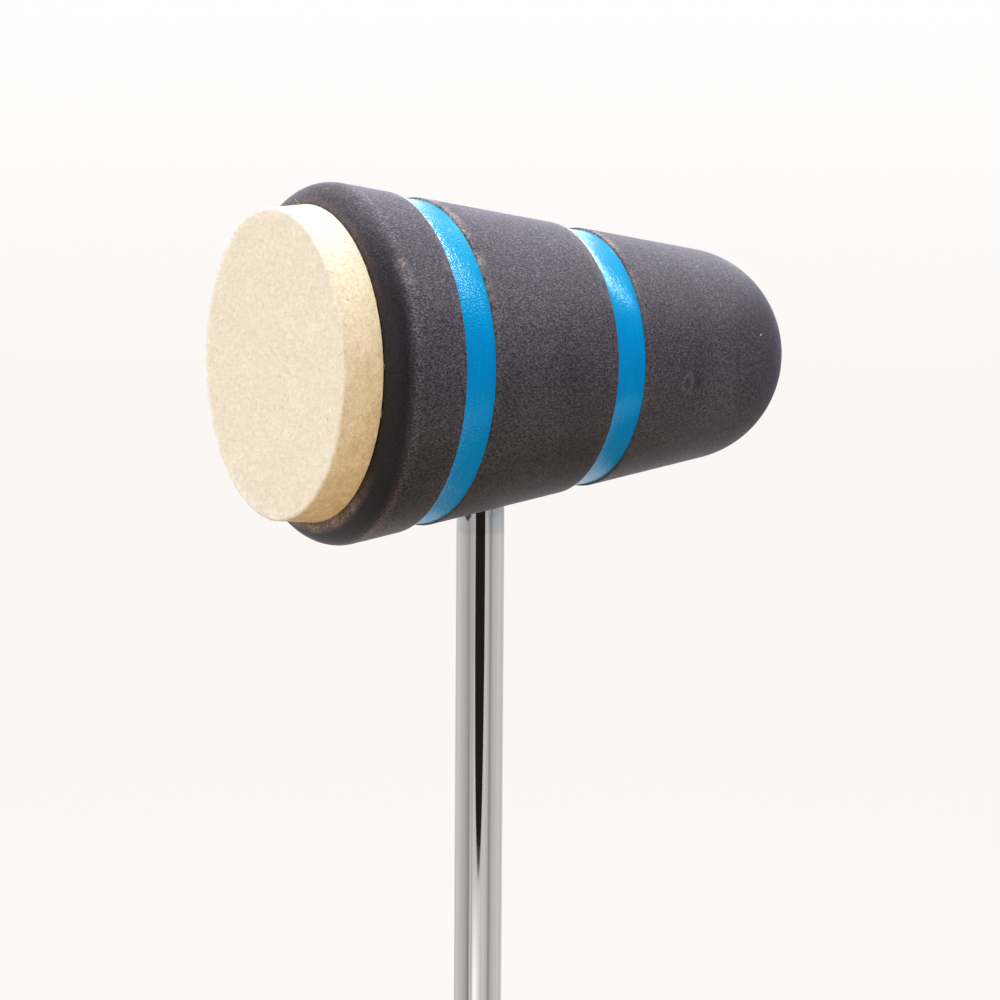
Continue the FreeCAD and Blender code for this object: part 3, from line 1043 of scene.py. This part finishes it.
# Higher up a dark flag hangs on the right and the cloth behind is lit, as shares of its brightest
high_cloth_greys = (
    (-180, "#ffffff"), (-150, "#ffffff"), (-125, "#b8b8b8"), (20, "#b8b8b8"), (45, "#3c4656"),
    (145, "#3c4656"), (168, "#ffffff"), (180, "#ffffff"),
)
# The table under the object carries the same streaks on, with the dark opening's in front
table_greys = (
    (-180, "#f7f7f7"), (-150, "#e3e3e3"), (-122, "#ffffff"), (-74, "#e0e0e0"), (-50, "#bcbcbc"),
    (-46, "#d8d8d8"), (-18, "#dcdcdc"), (-7, "#3a3532"), (7, "#3a3532"), (18, "#f2f2f2"), (28, "#fbfbfb"),
    (44, "#e0e0e0"), (48, "#acacac"), (53, "#d0d0d0"), (64, "#c2c2c2"), (76, "#e8e8e8"), (110, "#ffffff"),
    (130, "#eaeaea"), (180, "#f7f7f7"),
)
table_streaks_start = 0.16
# A dark cloth lies on the table: its middle, and from where to where its edge fades
dark_cloth_place = (0.045, 0.13, 0.0)
dark_cloth_reach = (0.11, 0.2)
# The lit table's brightness, as shares of its strongest, and how far from the shaft it fades
lit_table_strength = 1.85
lit_table_span = (0.31, 0.47)
lit_table_fade = 0.345
lit_table_edge = "#c4c3c2"
lit_table_greys = (
    (-180, lit_table_edge), (-40, lit_table_edge), (-13, "#ffffff"), (10, lit_table_edge),
    (180, lit_table_edge),
)


def by_angle(greys):
    """A paint that takes its grey from the angle to the right of the camera."""
    def paint(tree, place):
        to_camera = add(tree, "ShaderNodeVectorRotate", {
            "Vector": place, "Angle": -camera_azimuth}, rotation_type="Z_AXIS")
        axes = add(tree, "ShaderNodeSeparateXYZ", {0: to_camera}).outputs
        forward = add(tree, "ShaderNodeMath", {0: axes["Y"], 1: -1.0}, operation="MULTIPLY")
        angle = add(tree, "ShaderNodeMath", {0: axes["X"], 1: forward}, operation="ARCTAN2")
        share = add(tree, "ShaderNodeMapRange", {
            "Value": angle, "From Min": -math.pi, "From Max": math.pi})
        return add(tree, "ShaderNodeValToRGB", {"Fac": share}, stops=[
            ((degrees + 180) / 360, grey) for degrees, grey in greys])
    return paint


def tent_opening():
    """The dark opening that the camera looks through, round below and straight above."""
    azimuth = camera_azimuth + opening_turn
    out = Vector((math.sin(azimuth), -math.cos(azimuth), 0)) * opening_distance
    side = Vector((math.cos(azimuth), math.sin(azimuth), 0)) * opening_half_width
    points = [out + side + upright * opening_height]
    points.append(out - side + upright * opening_height)
    steps = 32
    for step in range(steps + 1):
        angle = math.pi * step / steps
        drop = opening_rounding * (1 - math.sin(angle))
        points.append(out - side * math.cos(angle) + upright * drop)
    mirrored("tent_opening", points, [range(len(points))], "#2b2623")


def cloth_paint(tree, place):
    """The low cloth's greys, blending upwards into the high cloth's."""
    height = add(tree, "ShaderNodeSeparateXYZ", {0: place}).outputs["Z"]
    up = add(tree, "ShaderNodeMapRange", {
        "Value": height, "From Min": cloth_blend[0], "From Max": cloth_blend[1]},
        interpolation_type="SMOOTHSTEP")
    lit = add(tree, "ShaderNodeVectorMath", {
        0: by_angle(high_cloth_greys)(tree, place), "Scale": high_cloth_strength}, operation="SCALE")
    return add(tree, "ShaderNodeMix", {
        0: up, 6: by_angle(low_cloth_greys)(tree, place), 7: lit}, data_type="RGBA")


def tent_cloth():
    """The tent's wall, a ring round the object that is open towards the camera."""
    steps = 180
    points = []
    for step in range(steps + 1):
        place = towards(cloth_edge + (360 - 2 * cloth_edge) * step / steps, cloth_distance)
        points += [place, place + upright * cloth_top]
    faces = [(2 * step, 2 * step + 2, 2 * step + 3, 2 * step + 1) for step in range(steps)]
    mirrored("tent_cloth", points, faces, cloth_paint)


def cloth_seams():
    """A dark fold and a bright seam in the cloth left of the opening, both narrowing upwards."""
    just_inside = cloth_distance - 0.002
    for name, angle, half_width, top, grey, strength in (
        ("cloth_fold", -48.5, 2.6, 0.12, "#8e8e8e", 1.0),
        ("cloth_seam", -37.0, 2.2, 0.09, "#ffffff", 1.2),
    ):
        foot = [towards(angle + side * half_width, just_inside) for side in (-1, 1)]
        tip = towards(angle, just_inside) + upright * top
        mirrored(name, foot + [tip], [(0, 1, 2)], grey, strength)


def lit_table_paint(tree, place):
    """Brightest next to the shaft, and as white as the floor at the card's edges."""
    away = add(tree, "ShaderNodeVectorMath", {0: place}, operation="LENGTH")
    close = add(tree, "ShaderNodeMapRange", {
        "Value": away, "From Min": lit_table_fade, "From Max": lit_table_span[1],
        "To Min": 1.0, "To Max": 0.0})
    return add(tree, "ShaderNodeMix", {
        0: close, 6: linear(lit_table_edge), 7: by_angle(lit_table_greys)(tree, place)},
        data_type="RGBA")


def lit_table():
    """The brightly lit table top in the tent's opening."""
    edge = sector(range(-40, 13, 4), lit_table_span, height=mm)
    mirrored("lit_table", edge, [range(len(edge))], lit_table_paint, lit_table_strength)


def mat_paint(tree, place):
    """The cloth's streaks carried on, with a soft dark patch behind the shaft."""
    outwards = add(tree, "ShaderNodeVectorMath", {0: place}, operation="LENGTH")
    by_cloth = add(tree, "ShaderNodeMapRange", {
        "Value": outwards, "From Min": table_streaks_start, "From Max": cloth_distance})
    streaks = add(tree, "ShaderNodeMix", {
        0: by_cloth, 6: by_angle(table_greys)(tree, place),
        7: by_angle(low_cloth_greys)(tree, place)}, data_type="RGBA")
    away = add(tree, "ShaderNodeVectorMath", {0: place, 1: dark_cloth_place}, operation="DISTANCE")
    clear_of_it = add(tree, "ShaderNodeMapRange", {
        "Value": away, "From Min": dark_cloth_reach[0], "From Max": dark_cloth_reach[1]},
        interpolation_type="SMOOTHSTEP")
    return add(tree, "ShaderNodeMix", {
        0: clear_of_it, 6: linear("#625e5c"), 7: streaks}, data_type="RGBA")


def table_mat():
    """The table under the object, with a dark cloth on it that keeps the head's lower side dark."""
    lift = upright * 0.5 * mm
    edge = [towards(angle, cloth_distance + 0.002) + lift for angle in range(0, 360, 4)]
    mirrored("table_mat", edge, [range(len(edge))], mat_paint)


def low_flag():
    """A dark card beside the head, just under its level, that keeps the dome's lower edge dark."""
    edge = sector(range(50, 171, 10), span=(0.075, 0.29), height=165 * mm)
    mirrored("low_flag", edge, [range(len(edge))], "#4a4648")


surround()
floor()
table_mat()
tent_opening()
tent_cloth()
cloth_seams()
lit_table()
low_flag()
soft_light(
    "top_box", place=(-0.12, 0.05, 0.95), width=0.7, height=0.7, power=4.6, colour="#fbfaff")
soft_light(
    "rear_strip", place=(-0.155, 0.64, 0.655), width=1.30, height=0.055, power=3.5, colour="#f6f8ff",
    tilt=-16)
soft_light(
    "felt_box", place=(0.25, -0.97, 0.35), width=0.6, height=0.6, power=3.0, colour="#fffbf2",
    in_mirrors=False)
bpy.context.scene.view_settings.view_transform = "Standard"
